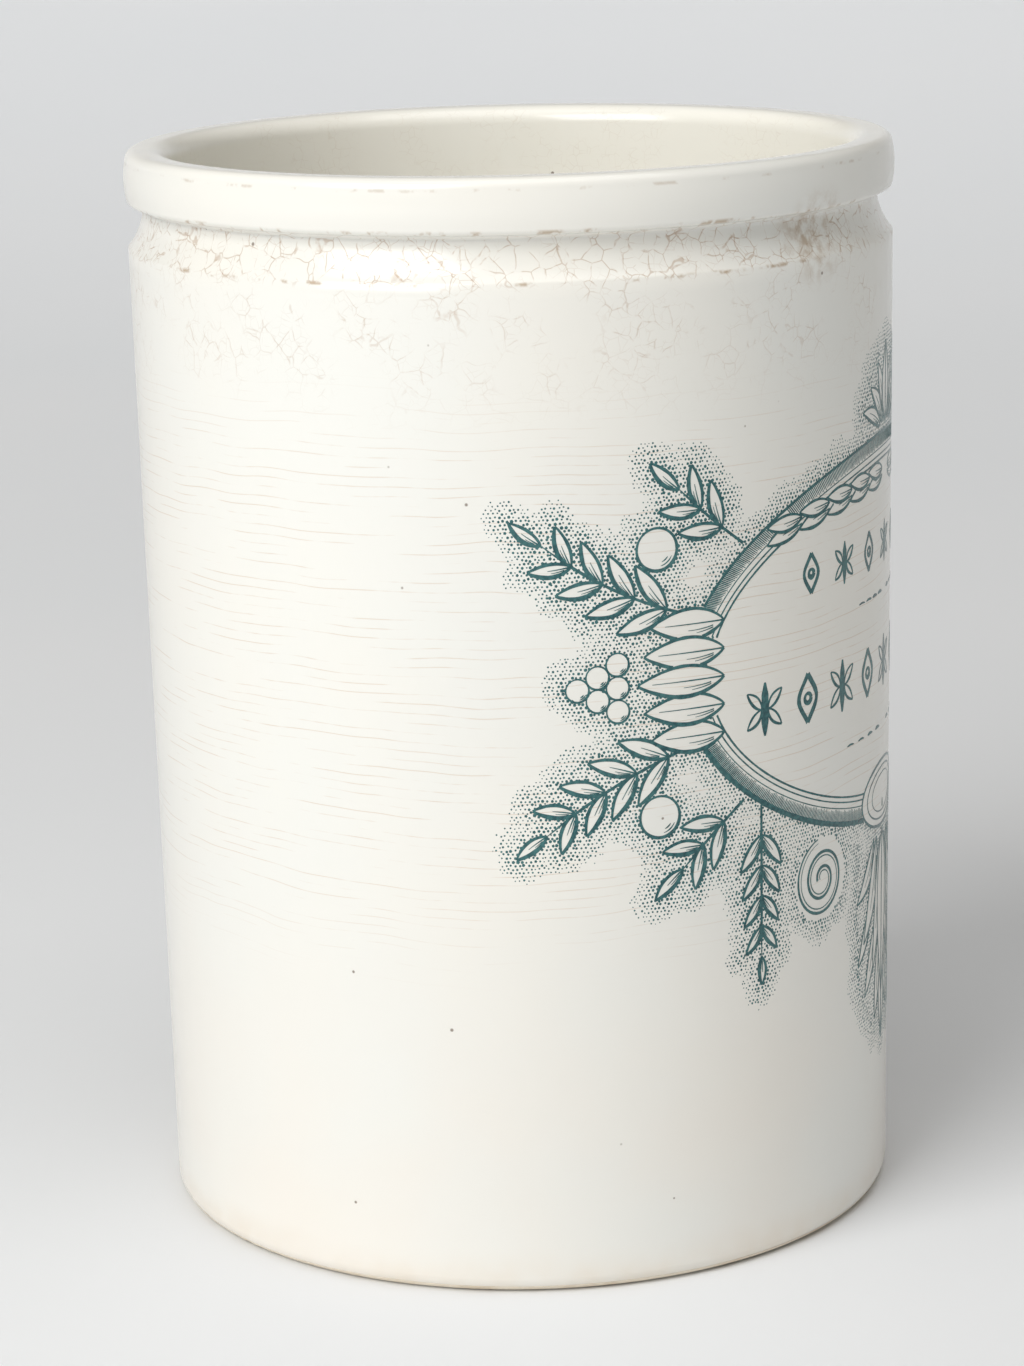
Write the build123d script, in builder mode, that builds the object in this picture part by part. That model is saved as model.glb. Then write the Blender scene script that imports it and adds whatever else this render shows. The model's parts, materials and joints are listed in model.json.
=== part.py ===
"""A straight-sided glazed earthenware preserve pot with a tie groove and a printed oval cartouche.

The pot is one thrown and fired piece. Its separate layers are the nodes: the biscuit body, the
coat of glaze that covers it, the glaze inside the foot, and the printed ornament, in groups of
motifs. Origin: centre of the foot, on the table. +Z runs up to the mouth, and the print faces -Y.
"""

import os
from math import asin, cos, degrees, radians, sin

from build123d import *

# ---------------------------------------------------------------- driving dimensions (mm)
height = 127.2
rim_radius = 45.0  # the rim's band, which is the widest place of the pot
bore_radius = 40.0  # straight inner wall
glaze = 0.2
ink = 0.1  # the print stands this far out of the glaze

lip_roll = 2.2  # inner edge of the lip
rim_round = 1.3  # outer edge of the lip
band_bottom = 121.0
band_bulge = 0.2
band_edge_round = 0.7
shoulder_height = 115.8
neck_radius = 43.1  # bottom of the tie groove, right under the band
cove_middle = (0.5, 2.4)  # a place on the groove's curve: out from the neck, up from the shoulder
neck_height = 0.6  # straight stretch of neck right under the band

wall_foot_radius = 44.05  # where the wall meets the rounded foot corner
foot_corner = 2.0
bare_foot = 0.8  # height of the unglazed ring that stands on the table
recess_radius = 36.0
foot_recess = 1.6
recess_edge = 0.6

floor_thickness = 6.0
inner_fillet = 7.0

# The print: every place is (u, z), u being the distance round the wall from the print's centre.
oval_centre = 70.8
oval_half_width = 37.7
oval_half_height = 21.3
oval_band = 3.2
print_low, print_high = 15.0, 108.0
leaf_shrink = 0.08  # each pair of a branch is shorter than the last by this share of the first
leaf_spread = 38.0  # degrees between a leaf and its stem
leaf_plump = 0.27  # a leaf's width over its length
print_clear = 0.6  # the print's sketches stand this far off the wall
print_depth = 4.4  # and are extruded this far inwards
frame_depth = 20.6  # the oval's own sketch reaches round to its far ends

# ---------------------------------------------------------------- worked out from them
inner_floor = foot_recess + floor_thickness
foot_ring_outer = wall_foot_radius - foot_corner
bare_angle = degrees(asin((bare_foot - foot_corner) / foot_corner))  # end of the glaze on the corner


# ---------------------------------------------------------------- pot: section and layers
def pot_outline(inset):
    """Half section of the pot. The glazed faces are drawn this far under the glaze's surface."""
    corner_centre = (foot_ring_outer, foot_corner)
    rim_centre = (rim_radius - rim_round, height - rim_round)
    lip_centre = (bore_radius + lip_roll, height - lip_roll)
    edge_centre = (rim_radius - band_edge_round, band_bottom + band_edge_round)
    fillet_centre = (bore_radius - inner_fillet, inner_floor + inner_fillet)
    ceiling = foot_recess + inset
    with BuildLine(Plane.XZ) as outline:
        recess = Polyline(
            (0, ceiling),
            (recess_radius, ceiling),
            (recess_radius, recess_edge),
            (recess_radius + recess_edge, 0),
            (foot_ring_outer, 0),
        )
        bare = CenterArc(corner_centre, foot_corner, -90, 90 + bare_angle)
        corner = CenterArc(corner_centre, foot_corner - inset, bare_angle, -bare_angle)
        if inset:
            Line(bare @ 1, corner @ 0)
        wall = Line(corner @ 1, (rim_radius - inset, shoulder_height))
        cove = ThreePointArc(
            wall @ 1,
            (neck_radius + cove_middle[0] - inset, shoulder_height + cove_middle[1]),
            (neck_radius - inset, band_bottom - neck_height),
        )
        underside = Line(cove @ 1, (rim_radius - band_edge_round, band_bottom + inset))
        band_edge = CenterArc(edge_centre, band_edge_round - inset, -90, 90)
        band = ThreePointArc(
            band_edge @ 1,
            (rim_radius + band_bulge - inset, (band_bottom + height) / 2),
            (rim_radius - inset, height - rim_round),
        )
        rim = CenterArc(rim_centre, rim_round - inset, 0, 90)
        lip = CenterArc(lip_centre, lip_roll - inset, 90, 90)
        Line(rim @ 1, lip @ 0)
        fillet_arc = CenterArc(fillet_centre, inner_fillet + inset, 0, -90)
        Line(lip @ 1, fillet_arc @ 0)
        Polyline(fillet_arc @ 1, (0, inner_floor - inset), recess @ 0)
    return outline.line


with BuildPart() as fired_body:
    with BuildSketch(Plane.XZ):
        make_face(pot_outline(glaze).edges())
    revolve(axis=Axis.Z)

with BuildSketch(Plane.XZ) as glaze_section:
    make_face(pot_outline(0).edges())
    make_face(pot_outline(glaze).edges(), mode=Mode.SUBTRACT)

with BuildPart() as glaze_coat:
    with BuildSketch(Plane.XZ):
        add(glaze_section.sketch.faces().sort_by(SortBy.AREA)[-1])
    revolve(axis=Axis.Z)

with BuildPart() as foot_glaze:
    with BuildSketch(Plane.XY.offset(foot_recess)):
        Circle(recess_radius)
    extrude(amount=glaze)


# The film of ink lies on the straight wall, and the print is cut from it.
def wall_radius(z):
    """Outer radius of the straight wall at a height."""
    rise = (z - foot_corner) / (shoulder_height - foot_corner)
    return wall_foot_radius + (rim_radius - wall_foot_radius) * rise


with BuildPart() as print_layer:
    with BuildSketch(Plane.XZ):
        with BuildLine():
            Polyline(
                (wall_radius(print_low), print_low),
                (wall_radius(print_high), print_high),
                (wall_radius(print_high) + ink, print_high),
                (wall_radius(print_low) + ink, print_low),
                close=True,
            )
        make_face()
    revolve(axis=Axis.Z)


# ---------------------------------------------------------------- print: drawing aids
def facing(u):
    """The plane that touches the wall at u and looks outwards."""
    turn_angle = u / rim_radius
    out = Vector(sin(turn_angle), -cos(turn_angle), 0)
    along = Vector(cos(turn_angle), sin(turn_angle), 0)
    return Plane(origin=out * (rim_radius + print_clear), x_dir=along, z_dir=out)


def spot(u, z, centre):
    """A place of the print on the plane that faces the wall at centre."""
    return (rim_radius * sin((u - centre) / rim_radius), z)


def leaf(base, tip, width, centre, side):
    """A lens-shaped leaf between two places, drawn on the open sketch."""
    start = Vector(*spot(side * base[0], base[1], centre))
    end = Vector(*spot(side * tip[0], tip[1], centre))
    middle = (start + end) / 2
    across = (end - start).normalized().rotate(Axis.Z, 90) * (width / 2)
    left_edge = ThreePointArc(start, middle + across, end)
    right_edge = ThreePointArc(end, middle - across, start)
    make_face([left_edge, right_edge])


def ball(place, radius, centre, side):
    """A round fruit or berry, drawn on the open sketch."""
    with Locations(spot(side * place[0], place[1], centre)):
        Circle(radius)


def oval_line(growth, start, end, count=9):
    """Places along the oval, grown by so much, from one angle in degrees to another."""
    return [
        (
            rim_radius * sin((oval_half_width + growth) * cos(radians(a)) / rim_radius),
            oval_centre + (oval_half_height + growth) * sin(radians(a)),
        )
        for a in [start + (end - start) * k / (count - 1) for k in range(count)]
    ]


def branch(start, heading, turning, pairs, pitch, size):
    """Leaves in pairs along a stem that bends steadily, each pair smaller, and one at its end."""
    u, z = start
    leaves = []
    for k in range(pairs + 1):
        heading += turning
        u, z = u + pitch * cos(radians(heading)), z + pitch * sin(radians(heading))
        length = size * (1 - leaf_shrink * k)
        for spread in (leaf_spread, -leaf_spread) if k < pairs else (0,):
            turn = radians(heading + spread)
            leaves.append(((u, z), (u + length * cos(turn), z + length * sin(turn)), length * leaf_plump))
    return leaves


def upside_down(leaves):
    """The same leaves, reflected in the oval's level axis."""
    return [((a[0], 2 * oval_centre - a[1]), (b[0], 2 * oval_centre - b[1]), w) for a, b, w in leaves]


# ---------------------------------------------------------------- print: the oval moulding
# Each cuff wraps the moulding at one end of the oval, so the moulding shows as an upper and
# a lower arch.
cuff_angle = 16.0
with BuildPart() as print_oval_frame:
    with BuildSketch(facing(0)):
        for low, high in ((cuff_angle, 180 - cuff_angle), (180 + cuff_angle, 360 - cuff_angle)):
            with BuildLine():
                outer = Spline(*oval_line(oval_band / 2, low, high))
                inner = Spline(*oval_line(-oval_band / 2, high, low))
                Line(outer @ 1, inner @ 0)
                Line(inner @ 1, outer @ 0)
            make_face()
    extrude(amount=-frame_depth)
    add(print_layer.part, mode=Mode.INTERSECT)

# ---------------------------------------------------------------- print: the cuffs
cuff_centre = -39.5
fold_pitch, fold_width = 3.2, 2.9
cuff_folds = [  # equal folds, one above the other, the outer ones shorter
    ((-34.4, oval_centre + fold_pitch * k), (-45.0 + 0.8 * abs(k), oval_centre + fold_pitch * k), fold_width)
    for k in range(-2, 3)
]
with BuildPart() as print_cuffs:
    for side in (-1, 1):
        middle_u = side * -cuff_centre
        with BuildSketch(facing(middle_u)):
            for base, tip, width in cuff_folds:
                leaf(base, tip, width, middle_u, -side)
        extrude(amount=-print_depth)
    add(print_layer.part, mode=Mode.INTERSECT)
    add(print_oval_frame.part, mode=Mode.SUBTRACT)

# ---------------------------------------------------------------- print: fruit and berries
fruit = [((-42.5, oval_centre + 15.2 * end), 2.3) for end in (1, -1)]  # centre, radius
fruit_centre = -40.0
with BuildPart() as print_fruit:
    for side in (-1, 1):
        middle_u = side * -fruit_centre
        with BuildSketch(facing(middle_u)):
            for place, radius in fruit:
                ball(place, radius, middle_u, -side)
        extrude(amount=-print_depth)
    add(print_layer.part, mode=Mode.INTERSECT)
    for group in (print_oval_frame, print_cuffs):
        add(group.part, mode=Mode.SUBTRACT)

berry_radius = 1.25
berry_pitch = 2.66
berries = [  # a triangle of three, two and one, its point outwards
    (-47.3 - 2.3 * row, oval_centre + (k - (2 - row) / 2) * berry_pitch)
    for row in range(3)
    for k in range(3 - row)
]
berry_centre = -48.5
with BuildPart() as print_berries:
    for side in (-1, 1):
        middle_u = side * -berry_centre
        with BuildSketch(facing(middle_u)):
            for place in berries:
                ball(place, berry_radius, middle_u, -side)
        extrude(amount=-print_depth)
    add(print_layer.part, mode=Mode.INTERSECT)
    add(print_cuffs.part, mode=Mode.SUBTRACT)

# ---------------------------------------------------------------- print: leaf sprays
outer_branch = branch((-37.5, 78.0), 168.0, -5.0, 4, 4.1, 6.4)
inner_branch = branch((-31.5, 85.5), 146.0, -3.0, 2, 3.6, 5.6)
outer_leaves = outer_branch + upside_down(outer_branch)
inner_leaves = inner_branch + upside_down(inner_branch)
with BuildPart() as print_leaf_sprays:
    for side in (-1, 1):
        for cluster, centre in ((outer_leaves, -50.0), (inner_leaves, -39.0)):
            middle_u = side * -centre
            with BuildSketch(facing(middle_u)):
                for base, tip, width in cluster:
                    leaf(base, tip, width, middle_u, -side)
            extrude(amount=-print_depth)
    add(print_layer.part, mode=Mode.INTERSECT)
    for group in (print_oval_frame, print_cuffs, print_fruit, print_berries):
        add(group.part, mode=Mode.SUBTRACT)

# ---------------------------------------------------------------- print: laurel
drop_leaves = branch((-29.0, 55.0), -90.0, 0.0, 4, 3.6, 5.0)  # hangs under each side of the moulding
drop_centre = 28.0
garland_centre = 14.0  # the garland lies along the inner side of the upper moulding
garland_start, garland_step, garland_knots = 1.6, 5.2, 5
garland_top, garland_sag = 88.9, 0.0042  # its height at the centre, and fall with u squared
garland_leaf, garland_spread = 1.5, 0.85
with BuildPart() as print_laurel:
    for side in (-1, 1):
        middle_u = side * drop_centre
        with BuildSketch(facing(middle_u)):
            for base, tip, width in drop_leaves:
                leaf(base, tip, width, middle_u, -side)
        extrude(amount=-print_depth)
        middle_u = side * garland_centre
        with BuildSketch(facing(middle_u)):
            for k in range(garland_knots):
                near = garland_start + garland_step * k
                far = near + garland_step
                low, high = (garland_top - garland_sag * u * u for u in (near, far))
                for rise in (garland_spread, -garland_spread):
                    leaf((near, low + rise / 2), (far, high + rise), garland_leaf, middle_u, side)
        extrude(amount=-print_depth)
    add(print_layer.part, mode=Mode.INTERSECT)
    for group in (print_oval_frame, print_cuffs, print_fruit, print_leaf_sprays):
        add(group.part, mode=Mode.SUBTRACT)

# ---------------------------------------------------------------- print: scrolls, clasp, pendant
scroll_centre = (-18.5, 44.0)
scroll_radii = (4.9, 3.7, 2.5, 1.3)  # outer band, then the curl inside it
with BuildPart() as print_scrolls:
    for side in (-1, 1):
        middle_u = side * -scroll_centre[0]
        with BuildSketch(facing(middle_u)):
            with Locations(spot(middle_u, scroll_centre[1], middle_u)):
                for k, radius in enumerate(scroll_radii):
                    Circle(radius, mode=Mode.ADD if k % 2 == 0 else Mode.SUBTRACT)
        extrude(amount=-print_depth)
    add(print_layer.part, mode=Mode.INTERSECT)
    for group in (print_oval_frame, print_laurel):
        add(group.part, mode=Mode.SUBTRACT)

pendant_leaves = (  # right half; the first one stands on the centre line
    ((0.0, 47.0), (0.0, 20.0), 4.6),
    ((2.4, 45.5), (6.2, 31.0), 3.4),
    ((2.0, 38.0), (5.0, 24.5), 2.6),
    ((5.2, 46.5), (10.4, 38.6), 2.8),
)
with BuildPart() as print_pendant:
    with BuildSketch(facing(0)):
        for side in (-1, 1):
            for base, tip, width in pendant_leaves:
                leaf(base, tip, width, 0, side)
    extrude(amount=-print_depth)
    add(print_layer.part, mode=Mode.INTERSECT)
    for group in (print_oval_frame, print_scrolls):
        add(group.part, mode=Mode.SUBTRACT)

crest_leaves = (
    ((0.0, 94.6), (0.0, 103.4), 3.4),
    ((1.4, 94.7), (4.6, 101.2), 2.4),
    ((2.6, 94.6), (8.2, 98.0), 2.2),
)
with BuildPart() as print_crest:
    with BuildSketch(facing(0)):
        for side in (-1, 1):
            for base, tip, width in crest_leaves:
                leaf(base, tip, width, 0, side)
    extrude(amount=-print_depth)
    add(print_layer.part, mode=Mode.INTERSECT)
    add(print_oval_frame.part, mode=Mode.SUBTRACT)

# ---------------------------------------------------------------- print: ornament in the oval
# Two plain rows of upright sprigs, each a lozenge between two leaves.
rows = (  # height of the row's middle, number of sprigs each side of the centre, pitch, size
    (80.5, 2, 10.0, 4.8),
    (66.2, 3, 8.7, 6.2),
)
with BuildPart() as print_centre_rows:
    for row_height, sprigs, pitch, size in rows:
        for k in range(-sprigs, sprigs + 1):
            middle_u = k * pitch
            with BuildSketch(facing(middle_u)):
                with Locations((0, row_height)):
                    with BuildLine():
                        Polyline(
                            (-size / 7, 0), (0, size / 2), (size / 7, 0), (0, -size / 2), close=True
                        )
                    make_face()
                for side in (-1, 1):
                    for rise in (-0.5, 0.5):
                        base = (middle_u + side * size / 6, row_height + rise)
                        tip = (middle_u + side * size / 2.2, row_height + rise * size * 0.8)
                        leaf(base, tip, size / 7, middle_u, 1)
            extrude(amount=-print_depth)
    add(print_layer.part, mode=Mode.INTERSECT)

# ---------------------------------------------------------------- write the pieces
pieces = {
    "fired_body": fired_body,
    "glaze_coat": glaze_coat,
    "foot_glaze": foot_glaze,
    "print_oval_frame": print_oval_frame,
    "print_cuffs": print_cuffs,
    "print_fruit": print_fruit,
    "print_berries": print_berries,
    "print_leaf_sprays": print_leaf_sprays,
    "print_laurel": print_laurel,
    "print_scrolls": print_scrolls,
    "print_pendant": print_pendant,
    "print_crest": print_crest,
    "print_centre_rows": print_centre_rows,
}
os.makedirs("parts", exist_ok=True)
for name, piece in pieces.items():
    piece.part.label = name
    export_step(piece.part, f"parts/{name}.step")
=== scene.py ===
# A straight-sided preserve pot: ivory crazed glaze over a fired body, with a one-colour print
# of an oval frame, leaf sprays, fruit and laurel. Every length below is in millimetres.
import json
import math

import bpy
import numpy as np
from mathutils import Matrix, Vector


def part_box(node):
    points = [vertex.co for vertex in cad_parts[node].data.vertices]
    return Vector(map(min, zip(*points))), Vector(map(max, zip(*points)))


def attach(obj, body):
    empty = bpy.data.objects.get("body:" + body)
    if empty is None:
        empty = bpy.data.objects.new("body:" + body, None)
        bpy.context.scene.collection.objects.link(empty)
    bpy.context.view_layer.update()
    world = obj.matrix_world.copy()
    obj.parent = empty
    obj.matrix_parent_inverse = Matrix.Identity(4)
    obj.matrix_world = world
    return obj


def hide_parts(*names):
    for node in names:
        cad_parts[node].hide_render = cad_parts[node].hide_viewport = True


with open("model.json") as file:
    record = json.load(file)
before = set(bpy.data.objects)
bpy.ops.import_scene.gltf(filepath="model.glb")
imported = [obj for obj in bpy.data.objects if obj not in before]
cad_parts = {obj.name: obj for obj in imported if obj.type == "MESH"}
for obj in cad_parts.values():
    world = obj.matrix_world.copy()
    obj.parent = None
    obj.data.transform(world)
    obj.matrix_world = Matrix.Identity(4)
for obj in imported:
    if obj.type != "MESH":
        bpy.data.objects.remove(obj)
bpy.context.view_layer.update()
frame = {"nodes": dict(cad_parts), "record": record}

mm = 0.001
record = frame["record"]
mounts = {mount["name"]: mount for mount in record["mounts"]}
coatLow, coatHigh = (np.array(corner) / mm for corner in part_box("glaze_coat"))

pot = {
    "height": coatHigh[2],
    "boreRadius": mounts["mouth_bore"]["dims"]["r_mm"],
    "bandBulge": 0.2,
    "lipRoll": 2.2,  # inner edge of the lip
    "rimRound": 1.3,  # outer edge of the lip
    "bandBottom": 121.0,
    "bandEdge": 0.7,
    "shoulder": 115.8,
    "neckRadius": 43.1,
    "footRadius": 44.05,  # of the wall, where it meets the rounded foot corner
    "footCorner": 2.0,
    "bareFoot": 0.8,  # height of the unglazed ring
    "innerFloor": 7.6,
    "innerFillet": 7.0,
    "glaze": 0.2,
    "around": 400,  # facets round the pot
}
pot["rimRadius"] = coatHigh[0] - pot["bandBulge"]


# Mesh helpers
def makeMesh(name, points, faces, smooth=True):
    # A mesh from points in mm and a list of face arrays; each array holds faces of one size.
    mesh = bpy.data.meshes.new(name)
    loops = np.concatenate([np.asarray(block).ravel() for block in faces])
    sizes = np.concatenate([np.full(len(block), np.asarray(block).shape[1]) for block in faces])
    mesh.vertices.add(len(points))
    mesh.vertices.foreach_set("co", (np.asarray(points, dtype=float) * mm).ravel())
    mesh.loops.add(len(loops))
    mesh.loops.foreach_set("vertex_index", loops.astype(np.int32))
    mesh.polygons.add(len(sizes))
    starts = np.concatenate([[0], np.cumsum(sizes)[:-1]])
    mesh.polygons.foreach_set("loop_start", starts.astype(np.int32))
    mesh.polygons.foreach_set("use_smooth", np.full(len(sizes), smooth))
    mesh.update(calc_edges=True)
    piece = bpy.data.objects.new(name, mesh)
    bpy.context.scene.collection.objects.link(piece)
    return piece


def line(start, end, count):
    # Evenly spaced points of a straight stretch of profile, without its last point.
    t = np.linspace(0, 1, count, endpoint=False)[:, None]
    return np.array(start) * (1 - t) + np.array(end) * t


def arc(centre, radius, fromAngle, toAngle, count):
    # Points of a round stretch of profile: centre plus radius times (cos, sin), last one left out.
    a = np.radians(np.linspace(fromAngle, toAngle, count, endpoint=False))
    return np.stack([centre[0] + radius * np.cos(a), centre[1] + radius * np.sin(a)], 1)


def bend(start, middle, end, count):
    # Points of the circle arc through three points, last one left out.
    (ax, ay), (bx, by), (cx, cy) = start, middle, end
    d = 2 * (ax * (by - cy) + bx * (cy - ay) + cx * (ay - by))
    sa, sb, sc = ax * ax + ay * ay, bx * bx + by * by, cx * cx + cy * cy
    ux = (sa * (by - cy) + sb * (cy - ay) + sc * (ay - by)) / d
    uy = (sa * (cx - bx) + sb * (ax - cx) + sc * (bx - ax)) / d
    a, m, e = (math.degrees(math.atan2(y - uy, x - ux)) for x, y in (start, middle, end))
    m, e = a + (m - a + 180) % 360 - 180, a + (e - a + 180) % 360 - 180
    return arc((ux, uy), math.hypot(ax - ux, ay - uy), a, e, count)


# The wall that everything follows
def wallRadius(z):
    # Radius of the straight wall: a straight line from the foot corner to the shoulder.
    rise = (np.asarray(z, dtype=float) - pot["footCorner"]) / (pot["shoulder"] - pot["footCorner"])
    return pot["footRadius"] + (pot["rimRadius"] - pot["footRadius"]) * rise


def wobble(angle, z):
    # How far the turned surface strays inwards: a few slow waves round and up the pot.
    slow = np.sin(2 * angle + 0.9) + 0.7 * np.sin(3 * angle - 1.3 + z * 0.021)
    fine = np.sin(5 * angle + z * 0.05) * np.sin(z * 0.083 + 0.4) + 0.6 * np.sin(z * 0.31 + 2 * angle)
    return -0.055 + 0.022 * slow + 0.010 * fine


def onWall(u, z, lift):
    # Point of the wall at u mm round from the print's centre, z up, standing lift mm proud.
    angle = u / pot["rimRadius"]
    radius = wallRadius(z) + wobble(angle, z) + lift
    return np.stack([radius * np.sin(angle), -radius * np.cos(angle), z + 0 * u], -1)


# Glaze
def glazeProfile(inset, fine):
    # Half section of the coat, from the bare foot up, over the lip and down to the floor's middle.
    p = pot
    corner = (p["footRadius"] - p["footCorner"], p["footCorner"])
    bareAngle = math.degrees(math.asin((p["bareFoot"] - p["footCorner"]) / p["footCorner"]))
    neck = p["neckRadius"] - inset
    edge = (p["rimRadius"] - p["bandEdge"], p["bandBottom"] + p["bandEdge"])
    rim = (p["rimRadius"] - p["rimRound"], p["height"] - p["rimRound"])
    lip = (p["boreRadius"] + p["lipRoll"], p["height"] - p["lipRoll"])
    fillet = (p["boreRadius"] - p["innerFillet"], p["innerFloor"] + p["innerFillet"])
    shoulder = (p["rimRadius"] - inset, p["shoulder"])
    coveEnd = (neck, p["bandBottom"] - 0.6)
    underside = (edge[0], p["bandBottom"] + inset)
    bandStart = (p["rimRadius"] - inset, edge[1])
    bandMiddle = (p["rimRadius"] + p["bandBulge"] - inset, (p["bandBottom"] + p["height"]) / 2)
    bandEnd = (p["rimRadius"] - inset, rim[1])
    bore = p["boreRadius"] + inset
    return np.concatenate([
        arc(corner, p["footCorner"] - inset, bareAngle, 0, int(10 * fine)),
        line((p["footRadius"] - inset, p["footCorner"]), shoulder, int(66 * fine)),
        bend(shoulder, (neck + 0.5, p["shoulder"] + 2.4), coveEnd, int(14 * fine)),
        line(coveEnd, underside, int(4 * fine)),
        arc(edge, p["bandEdge"] - inset, -90, 0, int(7 * fine)),
        bend(bandStart, bandMiddle, bandEnd, int(10 * fine)),
        arc(rim, p["rimRound"] - inset, 0, 90, int(9 * fine)),
        line((rim[0], p["height"] - inset), (lip[0], p["height"] - inset), int(4 * fine)),
        arc(lip, p["lipRoll"] - inset, 90, 180, int(9 * fine)),
        line((bore, lip[1]), (bore, fillet[1]), int(30 * fine)),
        arc(fillet, p["innerFillet"] + inset, 0, -90, int(10 * fine)),
        line((fillet[0], p["innerFloor"] - inset), (0, p["innerFloor"] - inset), int(10 * fine)),
    ])


def turned(profile):
    # Rings of points: the profile carried round +Z, each point moved inwards by the wobble.
    angle = np.linspace(0, 2 * math.pi, pot["around"], endpoint=False)
    radius = profile[:, :1] + wobble(angle[None, :], profile[:, 1:])
    z = profile[:, 1:] + 0 * angle
    return np.stack([radius * np.sin(angle), -radius * np.cos(angle), z], -1)


def ringFaces(rows, columns, first=0):
    # Quads between neighbouring rings of a closed grid.
    i = np.arange(rows - 1)[:, None] * columns + first
    j = np.arange(columns)[None, :]
    nextJ = (j + 1) % columns
    return np.stack([i + j, i + nextJ, i + columns + nextJ, i + columns + j], -1).reshape(-1, 4)


def makeGlaze():
    # The coat as one closed skin: its outer face, the face on the biscuit, and the foot's edge.
    outside = turned(glazeProfile(0.0, 1.0))
    inside = turned(glazeProfile(pot["glaze"], 0.35))
    rows, columns = outside.shape[0], outside.shape[1]
    backRows = inside.shape[0]
    points = np.concatenate([outside.reshape(-1, 3), inside.reshape(-1, 3)])
    poles = np.array([[0, 0, pot["innerFloor"]], [0, 0, pot["innerFloor"] - pot["glaze"]]])
    points = np.concatenate([points, poles])
    first = rows * columns
    j = np.arange(columns)
    nextJ = (j + 1) % columns
    front = ringFaces(rows, columns)
    back = ringFaces(backRows, columns, first)[:, ::-1]
    foot = np.stack([first + j, first + nextJ, nextJ, j], -1)
    lastFront, lastBack = first - columns, first + (backRows - 1) * columns
    pole = len(points) - 2
    frontFan = np.stack([lastFront + j, lastFront + nextJ, np.full(columns, pole)], -1)
    backFan = np.stack([lastBack + nextJ, lastBack + j, np.full(columns, pole + 1)], -1)
    return makeMesh("glazeSkin", points, [front, back, foot, frontFan, backFan])


# Print: lines, outlines and dots on the unrolled wall
# Every place is (u, z): u mm round the wall from the print's centre, z mm up. The left half is
# drawn, the motifs in front first because they hide what comes after them, and mirrored.
inkLook = {
    "lift": 0.022,  # the ink stands this far out of the glaze
    "sink": 0.07,  # and reaches this far in
    "outline": 0.33,
    "vein": 0.19,
    "rough": 0.10,  # share by which a line's width wavers
    "samples": 9,  # points drawn for each stretch of a line
    "stretch": 3.0,
}
random = np.random.default_rng(41)


def curve(points, count=None):
    # Smooth line through places: cubic pieces whose slopes are half the neighbours' difference.
    p = np.array(points, dtype=float)
    if count is None:
        length = np.hypot(*np.diff(p, axis=0).T).sum()
        count = max(7, int(length / inkLook["stretch"] * inkLook["samples"]))
    before = np.concatenate([2 * p[:1] - p[1:2], p[:-1]])
    after = np.concatenate([p[1:], 2 * p[-1:] - p[-2:-1]])
    slope = (after - before) / 2
    s = np.linspace(0, len(p) - 1, count)
    i = np.minimum(s.astype(int), len(p) - 2)
    t = (s - i)[:, None]
    return (
        (2 * t**3 - 3 * t**2 + 1) * p[i] + (t**3 - 2 * t**2 + t) * slope[i]
        + (3 * t**2 - 2 * t**3) * p[i + 1] + (t**3 - t**2) * slope[i + 1]
    )


def inside(points, outline):
    # Which points lie in a closed outline, by counting the edges to their right.
    x, y = points[:, :1], points[:, 1:]
    a, b = outline, np.roll(outline, -1, axis=0)
    spans = (a[:, 1] > y) != (b[:, 1] > y)
    rise = np.where(b[:, 1] == a[:, 1], 1e-9, b[:, 1] - a[:, 1])
    crossing = a[:, 0] + (y - a[:, 1]) * (b[:, 0] - a[:, 0]) / rise
    return (spans & (x < crossing)).sum(1) % 2 == 1


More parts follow.
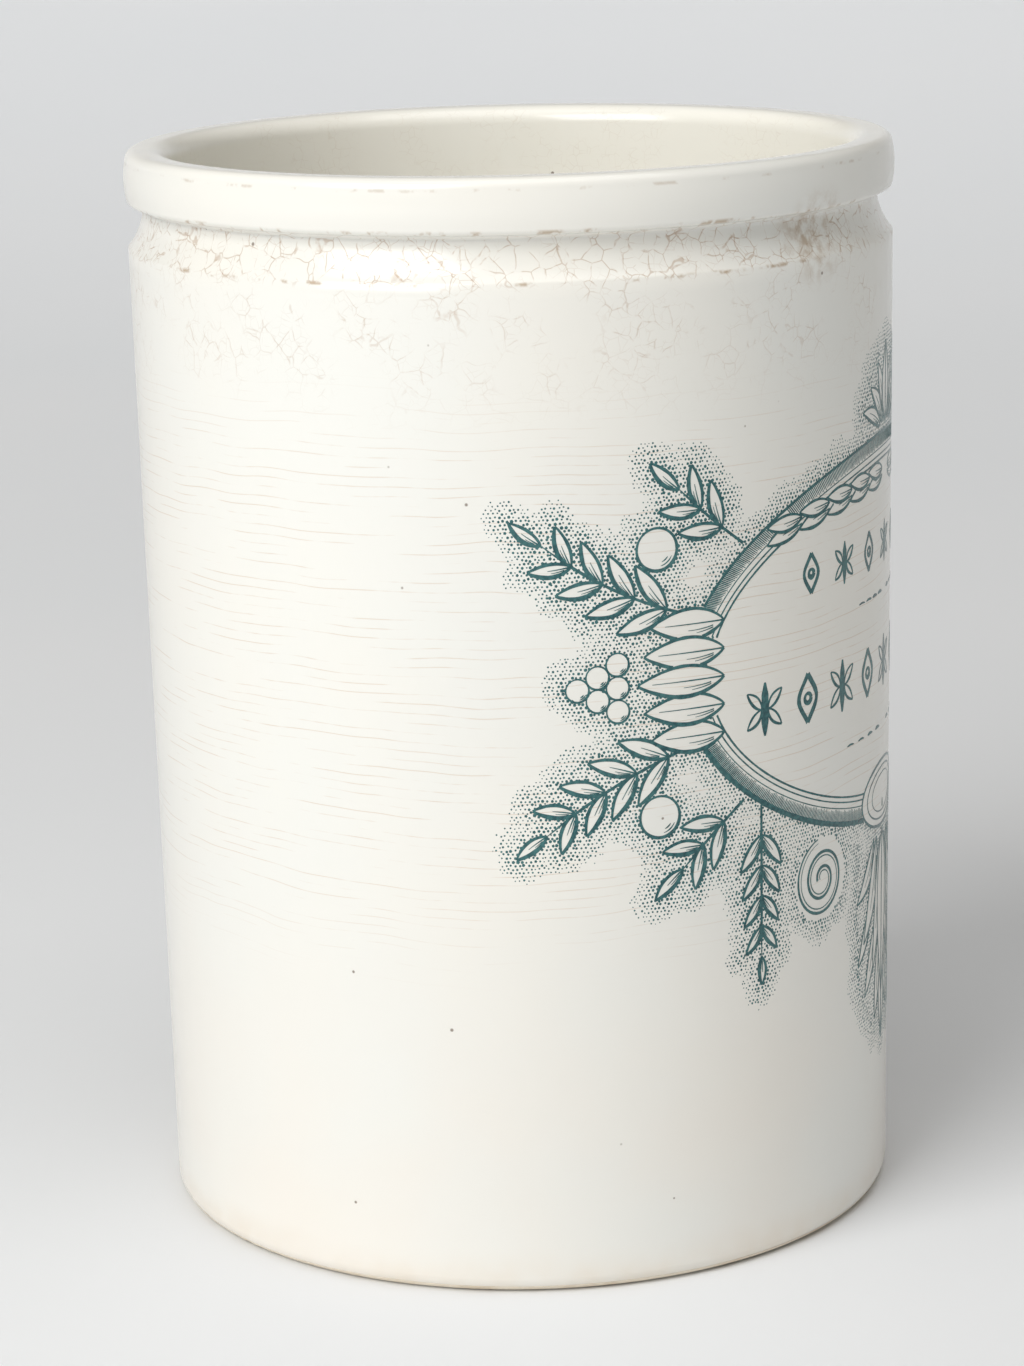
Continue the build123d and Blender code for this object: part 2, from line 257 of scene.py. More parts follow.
class Drawing:
    # Lines by group, the outlines that hide what is drawn after them, and the ground of dots.

    def __init__(self):
        self.lines, self.covers, self.marks = {}, [], []

    def line(self, group, points, width, ends="both", count=None):
        # A pen line: full width in the middle, drawn out to a point at the ends that are named.
        path = curve(points, count)
        s = np.linspace(0, 1, len(path))
        start = np.minimum(1, 0.25 + s / 0.3) if ends == "both" else 1.0
        finish = np.minimum(1, 0.25 + (1 - s) / 0.3) if ends in ("both", "end") else 1.0
        widths = width * start * finish * np.ones(len(path))
        self.cut(group, path, widths)
        return path

    def cut(self, group, path, widths):
        hidden = np.zeros(len(path), dtype=bool)
        for outline in self.covers:
            hidden |= inside(path, outline)
        edges = np.flatnonzero(np.diff(np.concatenate([[True], hidden, [True]]).astype(int)))
        for first, last in zip(edges[::2], edges[1::2]):
            if last - first >= 3:
                self.lines.setdefault(group, []).append((path[first:last], widths[first:last]))

    def cover(self, outline, dotted=True):
        self.covers.append(outline)
        if dotted:
            self.marks.append(outline)

    def blade(self, group, upper, lower, pen=None):
        # A leaf between two free edges that share both ends, its lower edge drawn heavier.
        pen = pen or inkLook["outline"]
        top = self.line(group, upper, pen, "none")
        under = self.line(group, lower, pen * 1.2, "none")
        self.cover(np.concatenate([top, under[::-1]]))

    def leaf(self, group, base, tip, width, bow=0.0, vein=0.62, pen=None, ribs=1):
        # A pointed leaf: its middle line bows sideways, its half width follows a leaning sine.
        base, tip = np.array(base, dtype=float), np.array(tip, dtype=float)
        along = tip - base
        length = math.hypot(*along)
        across = np.array([-along[1], along[0]]) / length
        t = np.linspace(0, 1, max(9, int(length / inkLook["stretch"] * inkLook["samples"])))[:, None]
        middle = base + along * t + across * bow * 4 * t * (1 - t)
        half = width / 2 * np.sin(math.pi * t**0.9) ** 0.85
        left, right = middle + across * half, middle - across * half
        pen = pen or inkLook["outline"]
        heavy = 1.25 if left[:, 1].mean() < right[:, 1].mean() else 0.95
        swell = 0.75 + 0.5 * np.sin(math.pi * t[:, 0])
        self.cut(group, left, pen * heavy * swell)
        self.cut(group, right, pen * (2.2 - heavy) * swell)
        run = int(len(t) * vein)
        if run > 4:
            fade = np.linspace(1.0, 0.35, run)
            self.cut(group, middle[:run], inkLook["vein"] * fade)
            for k in range(ribs):
                share = 0.42 + 0.2 * k
                low, high = int(len(t) * 0.16), int(len(t) * (0.52 - 0.1 * k))
                shade = (middle - across * half * share * np.sign(heavy - 1.1) * -1)[low:high]
                if len(shade) > 3:
                    self.cut(group, shade, inkLook["vein"] * 0.7 * np.linspace(1, 0.4, len(shade)))
        self.cover(np.concatenate([left, right[::-1]]))

    def ball(self, group, centre, radius, pen=None, shine=True):
        # A round fruit: its outline, heavier underneath, and short shade arcs inside its lower right.
        a = np.linspace(0, 2 * math.pi, max(22, int(radius * 16)))
        ring = np.array(centre) + radius * np.stack([np.cos(a), np.sin(a)], 1)
        pen = pen or inkLook["outline"]
        self.cut(group, ring, pen * (1.0 + 0.25 * np.cos(a + math.pi / 3)))
        if shine:
            for share, span in ((0.80, 0.9), (0.64, 0.6)):
                b = np.linspace(-0.9 - span / 2, -0.9 + span / 2, 9)
                shade = np.array(centre) + radius * share * np.stack([np.cos(b), np.sin(b)], 1)
                self.cut(group, shade, inkLook["vein"] * 0.8 * np.sin(np.linspace(0.3, 2.8, 9)))
        self.cover(ring[:-1])


sprig = {"shrink": 0.08, "spread": 38.0, "plump": 0.30}  # how the leaves of a branch change and stand


def upsideDown(place, end):
    # The place itself, or with end -1 its reflection in the oval's level axis.
    return (place[0], oval["middle"] + end * (place[1] - oval["middle"]))


def drawBranch(d, group, start, heading, turning, pairs, pitch, size, end=1):
    # A stem that bends steadily, with a leaf at its tip and pairs of leaves that shrink towards it.
    u, z = start
    stem, leaves = [start], []
    for k in range(pairs + 1):
        heading += turning
        u, z = u + pitch * math.cos(math.radians(heading)), z + pitch * math.sin(math.radians(heading))
        stem.append((u, z))
        length = size * (1 - sprig["shrink"] * k)
        for spread in (sprig["spread"], -sprig["spread"]) if k < pairs else (0,):
            turn = math.radians(heading + spread)
            leaves.append(((u, z), (u + length * math.cos(turn), z + length * math.sin(turn)), length))
    d.line(group, [upsideDown(place, end) for place in stem], 0.34, "end")
    for base, tip, length in reversed(leaves):
        width = length * sprig["plump"]
        d.leaf(group, upsideDown(base, end), upsideDown(tip, end), width, 0.12 * end, ribs=2)


def drawCuff(d):
    # Five fluted folds that bind the moulding, one above the other.
    for k in (0, 1, -1, 2, -2):
        z = oval["middle"] + 3.2 * k
        d.leaf("cuffInk", (-34.2, z), (-45.0 + 0.8 * abs(k), z), 3.5, 0.0, 0.85, 0.32, 2)
        for share in (-0.3, -0.15, 0.15, 0.3):
            d.line("cuffInk", [(-35.4, z + share * 2), (-39.4, z + share * 5), (-43.0, z + share * 2)], 0.14)


def drawFruit(d):
    # One round fruit in each fork of the branches, and a triangle of berries between them.
    for end in (1, -1):
        d.ball("fruitInk", upsideDown((-42.5, 86.0), end), 2.4)
    for row in range(3):
        for k in range(3 - row):
            d.ball("berryInk", (-47.3 - 2.3 * row, oval["middle"] + (k - (2 - row) / 2) * 2.66), 1.32, 0.22)


def drawBranches(d):
    # A long and a short branch above the oval's level axis, and their reflections below it.
    for end in (1, -1):
        drawBranch(d, "leafInk", (-37.5, 78.0), 168.0, -5.0, 4, 4.1, 6.4, end)
        drawBranch(d, "leafInk", (-31.5, 85.5), 146.0, -3.0, 2, 3.6, 5.6, end)


def drawDrop(d):
    # A straight branch that hangs under the oval.
    drawBranch(d, "laurelInk", (-29.0, 55.0), -90.0, 0.0, 4, 3.6, 5.0)


def drawScroll(d):
    # An even spiral: its radius shrinks in step with its angle.
    t = np.linspace(0, 1, 90)
    centre, reach = np.array([-18.5, 44.0]), 5.0
    for wide, width in ((4.9, 0.36), (4.4, 0.14)):
        turn = np.radians(100 + 810 * t)
        radius = (wide - 4.0 * t)[:, None]
        path = centre + radius * np.stack([np.cos(turn), np.sin(turn)], 1)
        d.cut("scrollInk", path, width * np.minimum(1, 0.4 + t * 4))
    a = np.linspace(0, 2 * math.pi, 40)
    d.cover(centre + reach * np.stack([np.cos(a), np.sin(a)], 1))


def drawClasp(d):
    # Three ellipses inside each other on the centre line.
    middle, flatness = 50.0, 0.46
    for wide, width in ((8.6, 0.34), (6.8, 0.2), (5.0, 0.14)):
        a = np.linspace(math.pi / 2, 3 * math.pi / 2, 50)
        path = np.stack([wide * np.cos(a), middle + wide * flatness * np.sin(a)], 1)
        d.cut("claspInk", path, np.full(len(path), width))
    d.cover(np.stack([8.6 * np.cos(a), middle + 3.96 * np.sin(a)], 1))


def drawPendant(d):
    # A hanging palmette under the clasp: long leaves beside a middle one, and a short leaf at its foot.
    g = "pendantInk"
    longLeaf = [(0.0, 45.6), (-1.6, 42.4), (-2.3, 38.0), (-1.9, 32.0), (0.0, 24.6)]
    d.blade(g, longLeaf, [longLeaf[0], longLeaf[-1]], 0.26)
    d.line(g, [(-0.9, 42.8), (-1.2, 38.0), (-0.9, 32.5)], 0.14)
    for base, tip, width, bow in (
        ((-1.4, 44.6), (-4.4, 28.6), 2.5, 0.5), ((-3.0, 45.0), (-7.8, 33.0), 2.8, 0.9),
        ((-4.2, 45.0), (-10.0, 38.4), 2.3, 0.9), ((-1.4, 33.0), (-3.4, 22.4), 2.2, 0.2),
        ((-3.6, 34.6), (-7.4, 26.4), 2.2, 0.5), ((-5.6, 37.4), (-9.6, 30.6), 1.9, 0.4),
    ):
        d.leaf(g, base, tip, width, bow, 0.7, 0.27, 2)
    d.blade(g, [(0.0, 30.0), (-1.3, 27.0), (-1.4, 23.4), (0.0, 19.2)], [(0.0, 30.0), (0.0, 19.2)])
    d.marks.append(curve([(-10.0, 45.0), (-10.2, 38.0), (-9.6, 30.0), (-7.4, 25.4), (-3.4, 21.4)]))


def drawGarland(d):
    # Leaves in pairs at an even pitch along the inner side of the upper moulding.
    for k in range(4, -1, -1):
        near = -1.6 - 5.2 * k
        far = near - 5.6
        low, high = (88.9 - 0.0042 * u * u for u in (near, far))
        for side in (1, -1):
            base, tip = (near, low + 0.4 * side), (far, high + 0.95 * side)
            d.leaf("laurelInk", base, tip, 1.8, 0.1 * side, 0.6, 0.27)


def drawCrest(d):
    # A palmette of seven leaves on the top of the moulding.
    g = "crestInk"
    middleLeaf = [(0.0, 94.4), (-1.3, 96.6), (-1.7, 99.6), (-1.0, 102.2), (0.0, 104.0)]
    d.blade(g, middleLeaf, [middleLeaf[0], middleLeaf[-1]])
    d.line(g, [(-0.6, 96.8), (-0.8, 99.4), (-0.6, 101.6)], 0.14)
    for base, tip, width, bow in (
        ((-0.9, 94.9), (-3.9, 102.0), 2.1, -0.35), ((-1.6, 94.7), (-6.6, 99.4), 2.0, -0.5),
        ((-2.6, 94.5), (-9.0, 96.8), 1.8, -0.5),
    ):
        d.leaf(g, base, tip, width, bow, 0.7, 0.26, 2)
    d.marks.append(curve([(-9.6, 96.0), (-7.4, 100.0), (-4.0, 103.0)]))


oval = {"middle": 70.8, "halfWidth": 37.7, "halfHeight": 21.3, "band": 1.6, "cuff": 17.0}


def ovalPath(grow, low, high, count):
    # Part of the ellipse that the moulding follows, grown by so many millimetres all round.
    a = np.radians(np.linspace(low, high, count))
    across = (oval["halfWidth"] + grow) * np.cos(a)
    up = oval["middle"] + (oval["halfHeight"] + grow) * np.sin(a)
    return np.stack([across, up], 1)


def drawMoulding(d):
    # Left half of both arches: edge lines, a double line inside, and cross strokes along the middle.
    g = "frameInk"
    band = oval["band"]
    for low, high, heavy in ((90, 180 - oval["cuff"] + 4, 0.34), (180 + oval["cuff"] - 4, 270, 0.62)):
        for grow, width in ((band, heavy), (-band, 0.24), (-band + 0.62, 0.17), (-0.25, 0.12)):
            path = ovalPath(grow, low, high, 150)
            d.cut(g, path, np.full(len(path), width))
        strokes = 170
        for a in np.linspace(low, high, strokes):
            start = ovalPath(-0.15 + 0.3 * random.random(), a, a, 1)[0]
            end = ovalPath(band - 0.15, a + 0.25, a + 0.25, 1)[0]
            path = np.linspace(start, end, 4)
            d.cut(g, path, 0.14 * np.array([0.5, 0.9, 1.0, 1.0]))
        rim = np.concatenate([ovalPath(band, low, high, 80), ovalPath(-band, high, low, 80)])
        d.cover(rim, False)
        d.marks.append(ovalPath(band, low, high, 120))


def drawRows(d):
    # Ornament inside the oval: two rows of leafy spindles and lozenges in turn, and two lines of dashes.
    g = "rowInk"
    for middle, size, pitch, places in ((80.4, 5.0, 6.9, 4), (66.0, 6.2, 7.1, 5)):
        for k in range(places):
            u = -pitch * k
            if k % 2 == 0:
                d.line(g, [(u, middle - size / 2), (u, middle), (u, middle + size / 2)], size * 0.17)
                for side in (1, -1) if k else (-1,):
                    for rise in (1, -1):
                        tip = (u + size * 0.42 * side, middle + size * 0.34 * rise)
                        d.leaf(g, (u + 0.5 * side, middle), tip, size * 0.17, 0.1 * side * rise, 0.5, 0.24)
            else:
                for side in (-1, 1):
                    half = size * 0.26 * side
                    top, bottom = (u, middle + size * 0.46), (u, middle - size * 0.46)
                    d.line(g, [top, (u + half, middle), bottom], size * 0.10, "none")
                d.ball(g, (u, middle), size * 0.09, 0.5, False)
    for middle, reach in ((74.6, 9.0), (58.4, 12.0)):
        for k in range(1, 5):
            u = -reach * k / 4
            d.line(g, [(u + 0.9, middle), (u, middle + 0.1), (u - 0.9, middle)], 0.5 - 0.07 * k, "both", 7)


ground = {
    "pitch": 0.50,
    "rowShare": 0.866,  # height of a honeycomb's row as a share of its pitch
    "left": -62.5,
    "bottom": 16.0,
    "top": 107.0,
    "reach": 3.4,  # how far from an outline dots still stand
    "near": 0.185,  # radius of a dot at an outline
    "far": 0.085,  # and at the end of the reach
}


def groundDots(d):
    # Dots on a jittered honeycomb round the motifs, smaller the further they are from an outline.
    step = ground["pitch"]
    rows = np.arange(ground["bottom"], ground["top"], step * ground["rowShare"])
    u, z = np.meshgrid(np.arange(ground["left"], 0.0, step), rows)
    u = u + step / 2 * (np.arange(z.shape[0]) % 2)[:, None]
    dots = np.stack([u.ravel(), z.ravel()], 1) + random.normal(0, step * 0.11, (u.size, 2))
    dots = dots[dots[:, 0] < -0.1]
    across = dots[:, 0] / (oval["halfWidth"] - 1.2)
    up = (dots[:, 1] - oval["middle"]) / (oval["halfHeight"] - 1.2)
    ellipse = across**2 + up**2
    dots = dots[ellipse > 1.0]
    outline = np.concatenate(d.marks)
    nearest = np.concatenate([
        np.sqrt(((part[:, None, :] - outline[None]) ** 2).sum(-1)).min(1)
        for part in np.array_split(dots, 60)
    ])
    reach = ground["reach"] * (0.82 + 0.18 * np.sin(dots[:, 0] * 0.9) * np.sin(dots[:, 1] * 0.7 + 1))
    keep = nearest < reach * (1 - 0.25 * random.random(len(dots)) ** 3)
    for cover in d.covers:
        keep &= ~inside(dots, cover)
    dots, nearest = dots[keep], nearest[keep] / reach[keep]
    size = ground["near"] + (ground["far"] - ground["near"]) * np.clip(nearest, 0, 1) ** 0.8
    return dots, size * (1 + 0.18 * random.normal(0, 1, len(dots)).clip(-2, 2))


def ribbons(lines):
    # Closed flat ribbons: four rails along each line, two on the glaze and two under it.
    points, faces, first = [], [], 0
    for path, widths in lines:
        count = len(path)
        slope = np.gradient(path, axis=0)
        slope /= np.maximum(np.hypot(*slope.T), 1e-9)[:, None]
        across = np.stack([-slope[:, 1], slope[:, 0]], 1)
        waver = np.convolve(random.normal(0, 1, count + 2), (0.25, 0.5, 0.25), "valid")
        half = (widths * (1 + inkLook["rough"] * waver) / 2)[:, None]
        left, right = path + across * half, path - across * half
        rails = [
            onWall(side[:, 0], side[:, 1], lift)
            for lift in (inkLook["lift"], -inkLook["sink"])
            for side in (left, right)
        ]
        points.append(np.concatenate(rails))
        i = np.arange(count - 1)[:, None]
        a, b, c, e = first, first + count, first + 2 * count, first + 3 * count
        for near, far in ((b, a), (a, c), (c, e), (e, b)):
            faces.append(np.concatenate([near + i, near + i + 1, far + i + 1, far + i], 1))
        last = count - 1
        faces.append(np.array([[a, b, e, c], [b + last, a + last, c + last, e + last]]))
        first += 4 * count
    return np.concatenate(points), np.concatenate(faces)


def domes(dots, size):
    # Closed five-sided domes of ink: a ring just under the glaze and a point over it.
    a = np.radians(np.arange(5) * 72.0)
    wide = size[:, None] * 1.45
    ring = onWall(dots[:, :1] + wide * np.cos(a), dots[:, 1:] + wide * np.sin(a), -0.012)
    top = onWall(dots[:, 0], dots[:, 1], 0.030)[:, None, :]
    points = np.concatenate([ring, top], 1).reshape(-1, 3)
    j = np.arange(5)
    sides = np.stack([j, (j + 1) % 5, np.full(5, 5)], 1)
    under = np.array([[0, 2, 1], [0, 3, 2], [0, 4, 3]])
    each = np.concatenate([sides, under])
    return points, (np.arange(len(dots))[:, None, None] * 6 + each).reshape(-1, 3)


def makePrint(ink):
    # Draws the left half, mirrors it, and makes one piece for each group of lines.
    d = Drawing()
    for draw in (drawClasp, drawCuff, drawFruit, drawBranches, drawGarland, drawDrop, drawScroll,
                 drawPendant, drawCrest, drawMoulding, drawRows):
        draw(d)
    stands = {
        "frameInk": "print_oval_frame", "cuffInk": "print_cuffs", "fruitInk": "print_fruit",
        "berryInk": "print_berries", "leafInk": "print_leaf_sprays", "laurelInk": "print_laurel",
        "scrollInk": "print_scrolls", "pendantInk": "print_pendant", "crestInk": "print_crest",
        "rowInk": "print_centre_rows", "claspInk": None,
    }
    mirror = np.array([-1.0, 1.0])
    for name, node in stands.items():
        half = d.lines[name]
        both = half + [(path * mirror, widths) for path, widths in half]
        points, faces = ribbons(both)
        finishInk(makeMesh(name, points, [faces], smooth=False), ink, node)
    dots, size = groundDots(d)
    points, faces = domes(np.concatenate([dots, dots * mirror]), np.concatenate([size, size]))
    finishInk(makeMesh("groundDots", points, [faces], smooth=False), ink, None)
    print("print drawn:", sum(len(group) for group in d.lines.values()), "lines,", len(dots) * 2, "dots")


def finishInk(piece, ink, node):
    piece.data.materials.append(ink)
    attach(piece, "root")
    if node:
        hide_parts(node)


# Stage, light and camera
view = {
    "distance": 449.8,  # from the pot's axis
    "height": 170.5,
    "azimuth": -74.0,  # the print's centre lies this far to the camera's right
    "yaw": -0.14,
    "pitch": -13.66,
    "roll": -1.40,
    "lens": 100.36,
}


def makeCamera():
    data = bpy.data.cameras.new("camera")
    data.lens, data.sensor_width, data.sensor_fit = view["lens"], 36, "AUTO"
    data.clip_start, data.clip_end = 0.05, 30
    camera = bpy.data.objects.new("camera", data)
    bpy.context.scene.collection.objects.link(camera)
    turn = math.radians(view["azimuth"])
    place = Vector((math.sin(turn), -math.cos(turn), 0)) * view["distance"]
    place.z = view["height"]
    yaw = turn - math.radians(view["yaw"])
    upright = Matrix.Rotation(yaw, 4, "Z") @ Matrix.Rotation(math.radians(90 + view["pitch"]), 4, "X")
    roll = Matrix.Rotation(math.radians(view["roll"]), 4, "Z")
    camera.matrix_world = Matrix.Translation(place * mm) @ upright @ roll
    bpy.context.scene.camera = camera


stage = {"flat": 650.0, "edge": 3000.0, "rise": 900.0}  # level middle, outer radius, rim height


def makeStage():
    # A pale sweep: level in the middle, then rising as the square of the way to its far edge.
    rings, columns = 48, 128
    radius = np.concatenate([[60.0], np.geomspace(120, stage["edge"], rings - 1)])
    climb = np.clip((radius - stage["flat"]) / (stage["edge"] - stage["flat"]), 0, 1)
    angle = np.linspace(0, 2 * math.pi, columns, endpoint=False)
    x, y = radius[:, None] * np.cos(angle), radius[:, None] * np.sin(angle)
    z = (stage["rise"] * climb * climb)[:, None] + 0 * angle
    points = np.concatenate([np.stack([x, y, z], -1).reshape(-1, 3), [[0, 0, 0]]])
    j = np.arange(columns)
    middle = np.stack([j, (j + 1) % columns, np.full(columns, len(points) - 1)], -1)
    floor = makeMesh("floor", points, [ringFaces(rings, columns)[:, ::-1], middle])
    return floor


def placed(azimuth, distance, height):
    # A place given by its direction from the camera's azimuth, its distance from the axis and height.
    turn = math.radians(view["azimuth"] + azimuth)
    return Vector((math.sin(turn) * distance, -math.cos(turn) * distance, height))


def areaLight(name, look):
    # A soft box at one place, turned to face another; both as (azimuth, distance, height).
    data = bpy.data.lights.new(name, "AREA")
    data.shape, data.size, data.size_y = "RECTANGLE", look["size"][0] * mm, look["size"][1] * mm
    data.energy, data.color = look["power"], look["colour"]
    lamp = bpy.data.objects.new(name, data)
    bpy.context.scene.collection.objects.link(lamp)
    here, aim = placed(*look["at"]), placed(*look["aim"])
    lamp.location = here * mm
    lamp.rotation_mode = "QUATERNION"
    lamp.rotation_quaternion = (here - aim).to_track_quat("Z", "Y")


lights = {
    "keyBox": {
        "at": (-40, 1130, 890), "aim": (0, 0, 64),
        "size": (900, 900), "power": 14.5, "colour": (1.0, 0.99, 0.97)},
    "topBox": {
        "at": (30, 420, 1830), "aim": (0, 0, 64),
        "size": (1500, 1500), "power": 10.8, "colour": (1.0, 1.0, 1.0)},
    "backdropBox": {
        "at": (180, 1000, 1500), "aim": (180, 2700, 500),
        "size": (1800, 900), "power": 15.0, "colour": (0.98, 0.99, 1.0)},
}
room = {"colour": (0.90, 0.86, 0.79, 1), "strength": 0.23}


# Shader maths
class Wire:
    # A shader socket that takes part in sums, so that a mask reads as an expression.

    def __init__(self, paint, socket):
        self.paint, self.socket = paint, socket

    def maths(self, operation, *others):
        return self.paint.node("Math", {"operation": operation}, dict(enumerate((self, *others))))

    def __add__(self, other):
        return self.maths("ADD", other)

    def __sub__(self, other):
        return self.maths("SUBTRACT", other)

    def __rsub__(self, other):
        return self.maths("MULTIPLY", -1.0) + other

    def __mul__(self, other):
        return self.maths("MULTIPLY", other)

    def __truediv__(self, other):
        return self.maths("DIVIDE", other)

    def __pow__(self, other):
        return self.maths("POWER", other)

    def __abs__(self):
        return self.maths("ABSOLUTE")

    __radd__ = __add__


class Paint:
    # A material whose nodes are made one by one: type, settings, then socket values or links.

    def __init__(self, name, **constants):
        self.material = bpy.data.materials.new(name)
        self.material.use_nodes = True
        self.tree = self.material.node_tree
        self.shader = self.tree.nodes["Principled BSDF"]
        for socket, value in constants.items():
            self.shader.inputs[socket.replace("_", " ")].default_value = value

    def node(self, kind, settings=None, inputs=None, out=0):
        made = self.tree.nodes.new("ShaderNode" + kind)
        for key, value in (settings or {}).items():
            setattr(made, key, value)
        for key, value in (inputs or {}).items():
            self.plug(made.inputs[key], value)
        return Wire(self, made.outputs[out])

    def plug(self, socket, value):
        if isinstance(value, Wire):
            self.tree.links.new(value.socket, socket)
        else:
            socket.default_value = value

    def place(self):
        # Object coordinates in millimetres.
        raw = self.node("TexCoord", out="Object")
        return self.node("VectorMath", {"operation": "SCALE"}, {0: raw, "Scale": 1 / mm})

    def noise(self, vector, size, detail=2.0, rough=0.5):
        # Value from 0 to 1 that changes over about size millimetres.
        inputs = {"Vector": vector, "Scale": 1 / size, "Detail": detail, "Roughness": rough}
        return self.node("TexNoise", None, inputs)

    def step(self, value, low, high, top=1.0):
        # Smooth rise from 0 at low to top at high; high may be the lower of the two.
        inputs = {"Value": value, "From Min": low, "From Max": high, "To Min": 0.0, "To Max": top}
        return self.node("MapRange", {"interpolation_type": "SMOOTHSTEP"}, inputs)

    def blend(self, factor, first, second):
        # Colour that turns from the first to the second: sockets 6 and 7, with the result in output 2.
        inputs = {"Factor": factor, 6: first, 7: second}
        return self.node("Mix", {"data_type": "RGBA"}, inputs, 2)

    def bump(self, height, strength, depth):
        # Raises the surface by depth millimetres where height is 1.
        node = self.node("Bump", None, {"Height": height, "Strength": strength, "Distance": depth * mm})
        self.plug(self.shader.inputs["Normal"], node)

    def set(self, **links):
        for socket, value in links.items():
            self.plug(self.shader.inputs[socket.replace("_", " ")], value)


def srgb(red, green, blue):
    # Linear colour of a screen colour given from 0 to 255.
    def linear(c):
        return c / 255 / 12.92 if c <= 10 else ((c / 255 + 0.055) / 1.055) ** 2.4

    return (linear(red), linear(green), linear(blue), 1.0)


# Finishes
glazeLook = {
    "ivory": srgb(241, 239, 232),
    "warm": srgb(241, 235, 226),
    "cool": srgb(238, 238, 233),
    # painted light: a brighter copy of the ivory for the pot's inside, so that it reads as lit
    "inside": srgb(251, 249, 240),
    "buff": srgb(228, 210, 186),
    "craze": srgb(164, 122, 76),
    "hairline": srgb(196, 158, 120),
    "dirt": srgb(158, 120, 66),
    "dull": srgb(205, 196, 168),
    "speck": srgb(96, 70, 48),
    "roughness": 0.16,
    "coarseCraze": 2.3,  # cell sizes of the crazing
    "fineCraze": 1.2,
    "hairPitch": 1.05,  # from one level hairline to the next
    "speckCell": 7.0,
    "stainPlace": (-19.1, 118.3),  # mm round from the print's centre, mm up
}


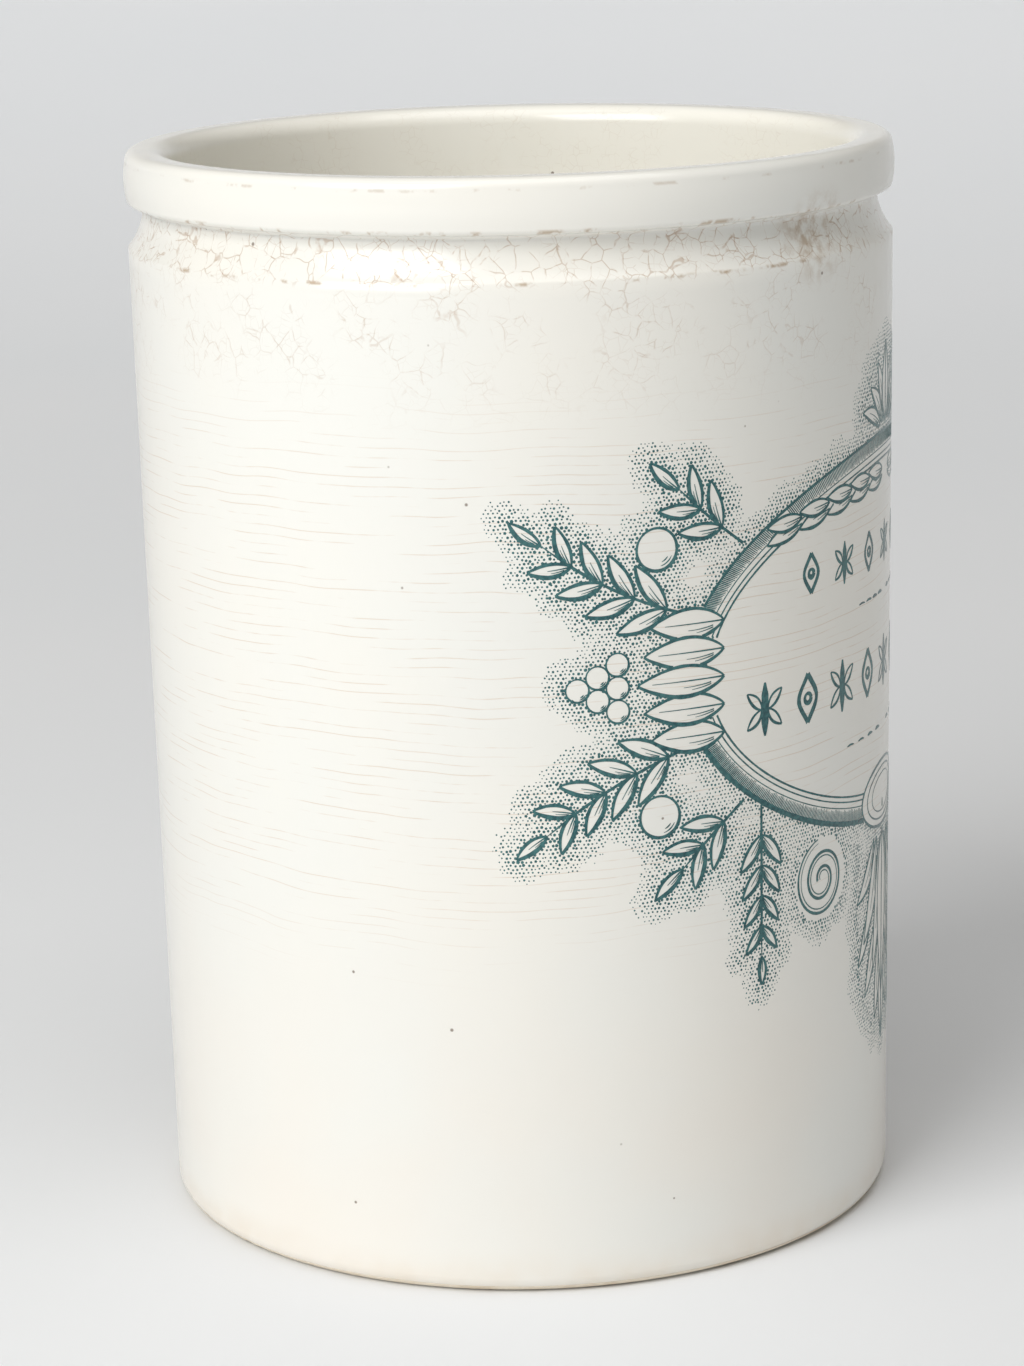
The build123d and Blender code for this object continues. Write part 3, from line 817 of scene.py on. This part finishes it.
def glazeMaterial():
    look, p = glazeLook, Paint("ivoryGlaze", IOR=1.52, Coat_Roughness=0.05)
    at = p.place()
    axes = p.node("SeparateXYZ", None, {0: at})
    z = Wire(p, axes.socket.node.outputs["Z"])
    x = Wire(p, axes.socket.node.outputs["X"])
    y = Wire(p, axes.socket.node.outputs["Y"])
    radius = (x * x + y * y) ** 0.5
    # inner turns from 0 to 1 over the top of the lip, so that it masks the pot's inside
    inner = p.step(radius, pot["rimRadius"] - 3.0, pot["rimRadius"] - 4.4)
    outer = 1.0 - inner

    # body colour: broad warm and cool clouds, warmer towards the foot
    clouds = p.noise(at, 38.0, 3.0)
    colour = p.blend(p.step(clouds, 0.35, 0.7), look["cool"], look["ivory"])
    warmth = p.step(z, 60.0, 4.0, 0.7) * p.step(p.noise(at, 25.0), 0.25, 0.75)
    colour = p.blend(warmth, colour, look["warm"])
    foot = p.step(z, 6.0, 0.6, 0.45) * (0.25 + p.step(p.noise(at, 7.0), 0.35, 0.7, 0.65)) * outer
    colour = p.blend(foot, colour, look["buff"])
    stainPatch = p.step(p.noise(at, 14.0, 4.0, 0.6), 0.46, 0.75, 0.16) * inner
    colour = p.blend(stainPatch, colour, look["dull"])
    # painted light: the inside is turned towards the brighter ivory copy, standing in for light on it
    colour = p.blend(inner * 0.7, colour, look["inside"])

    # crazing: thin cell edges in the groove, in patches under the shoulder and faintly inside
    swirl = p.node("TexNoise", None, {"Vector": at, "Scale": 1 / 2.2, "Detail": 1.0}, "Color")
    push = p.node("VectorMath", {"operation": "SCALE"}, {0: swirl, "Scale": 1.1})
    bent = p.node("VectorMath", {"operation": "ADD"}, {0: at, 1: push})

    def cracks(size, width):
        edge = p.node("TexVoronoi", {"feature": "DISTANCE_TO_EDGE"}, {"Vector": bent, "Scale": 1 / size})
        return p.step(edge * size, width, width * 0.3)

    aboveShoulder = p.step(z, pot["shoulder"] - 0.8, pot["shoulder"] + 0.5)
    groove = aboveShoulder * p.step(z, pot["bandBottom"] + 0.4, pot["bandBottom"] - 0.4)
    below = p.step(z, 98.0, 111.0) * p.step(z, pot["shoulder"] + 0.4, pot["shoulder"] - 0.6)
    patches = p.step(p.noise(at, 7.0, 2.0), 0.40, 0.60)
    some = p.step(p.noise(at, 5.0, 2.0), 0.40, 0.58)
    broken = p.step(p.noise(at, 1.6, 2.0, 0.6), 0.36, 0.58)
    coarse, fine = cracks(look["coarseCraze"], 0.085) * broken, cracks(look["fineCraze"], 0.055) * broken
    craze = (coarse * 0.42 + fine * some * 0.32) * groove * outer
    craze = craze + (coarse * 0.27 + fine * 0.12) * below * patches * outer
    craze = craze + fine * inner * patches * 0.10
    colour = p.blend(craze, colour, look["craze"])

    # hairlines: level lines at a steady spacing that waver with a slow noise; each line shows only
    # where a noise of its own is high
    wavering = (z + p.noise(at, 42.0, 3.0) * 5.0) / look["hairPitch"]
    row = wavering.maths("FLOOR")
    off = abs(wavering - row - 0.5) * look["hairPitch"]
    own = p.node("CombineXYZ", None, {0: x, 1: y, 2: row * 23.0})
    band = p.step(z, 34.0, 52.0) * p.step(z, 108.0, 92.0) * outer
    shown = p.step(p.noise(own, 15.0, 4.0, 0.65), 0.46, 0.60)
    hair = p.step(off, 0.085, 0.02) * band * shown * 0.36
    colour = p.blend(hair, colour, look["hairline"])

    # dirt on the edges of the band and the shoulder, and a stain in the groove
    def near(height, reach):
        return p.step(abs(z - height), reach, 0.0)

    edges = near(pot["bandBottom"] + 0.25, 0.45) + near(pot["shoulder"], 0.35)
    edges = edges + near(pot["height"] - pot["rimRound"], 0.3) * 0.5
    dirt = edges * p.step(p.noise(at, 2.4, 3.0, 0.6), 0.54, 0.68) * 0.6 * outer
    stainAt = onWall(*np.array(look["stainPlace"]), -2.0)
    away = p.node("VectorMath", {"operation": "DISTANCE"}, {0: at, 1: tuple(stainAt)}, "Value")
    stain = p.step(away, 7.0, 1.0) * p.step(p.noise(at, 1.8, 3.0, 0.6), 0.38, 0.68) * 0.6
    colour = p.blend(dirt + stain, colour, look["dirt"])

    # specks: a few cells of a wide mesh hold one dot each
    cell = p.node("TexVoronoi", None, {"Vector": at, "Scale": 1 / look["speckCell"]})
    chance = p.node("SeparateColor", None, {0: Wire(p, cell.socket.node.outputs["Color"])})
    dot = p.step(cell * look["speckCell"] + chance * 0.2, 0.40, 0.26) * p.step(chance, 0.38, 0.39)
    colour = p.blend(dot * 0.75, colour, look["speck"])

    polish = look["roughness"] + p.noise(at, 6.0, 2.0) * 0.05 + craze * 0.1
    peel = p.noise(at, 9.0, 2.0, 0.4) * 0.02 - craze * 0.012 - hair * 0.006 - dot * 0.02
    p.set(Base_Color=colour, Roughness=polish)
    p.bump(peel, 1.0, 1.0)
    return p.material


def biscuitMaterial():
    p = Paint("barebiscuit", Roughness=0.85)
    at = p.place()
    grain = p.noise(at, 0.5, 4.0, 0.65)
    wear = p.step(p.noise(at, 5.0, 3.0), 0.45, 0.7)
    colour = p.blend(grain, srgb(228, 216, 196), srgb(242, 234, 218))
    colour = p.blend(wear * 0.35, colour, srgb(196, 172, 138))
    p.set(Base_Color=colour)
    p.bump(grain, 0.6, 0.06)
    return p.material


def inkMaterial():
    p = Paint("tealInk", IOR=1.52)
    at = p.place()
    dense = p.step(p.noise(at, 0.5, 3.0, 0.6), 0.35, 0.65)
    patches = p.step(p.noise(at, 6.0, 2.0), 0.3, 0.7)
    colour = p.blend(dense, srgb(20, 74, 80), srgb(52, 108, 110))
    colour = p.blend(patches * 0.25, colour, srgb(84, 130, 128))
    p.set(Base_Color=colour, Roughness=glazeLook["roughness"] + dense * 0.05)
    return p.material


def floorMaterial():
    p = Paint("paleFloor", Roughness=0.9)
    at = p.place()
    p.set(Base_Color=p.blend(p.noise(at, 220.0), srgb(233, 236, 239), srgb(238, 239, 241)))
    return p.material


# Putting it together
def main():
    glaze = makeGlaze()
    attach(glaze, "root")
    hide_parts("glaze_coat")
    glaze.data.materials.append(glazeMaterial())
    print("glaze coat made")

    biscuit, ivory = biscuitMaterial(), glaze.data.materials[0]
    for name, material in (("fired_body", biscuit), ("foot_glaze", ivory)):
        node = frame["nodes"][name]
        node.data.materials.clear()
        node.data.materials.append(material)
    makePrint(inkMaterial())

    floor = makeStage()
    floor.data.materials.append(floorMaterial())
    makeCamera()
    for name, look in lights.items():
        areaLight(name, look)
    world = bpy.data.worlds.new("paleRoom")
    world.use_nodes = True
    world.node_tree.nodes["Background"].inputs["Color"].default_value = room["colour"]
    world.node_tree.nodes["Background"].inputs["Strength"].default_value = room["strength"]
    bpy.context.scene.world = world
    bpy.context.scene.view_settings.view_transform = "Standard"
    print("stage, light and camera made")


main()
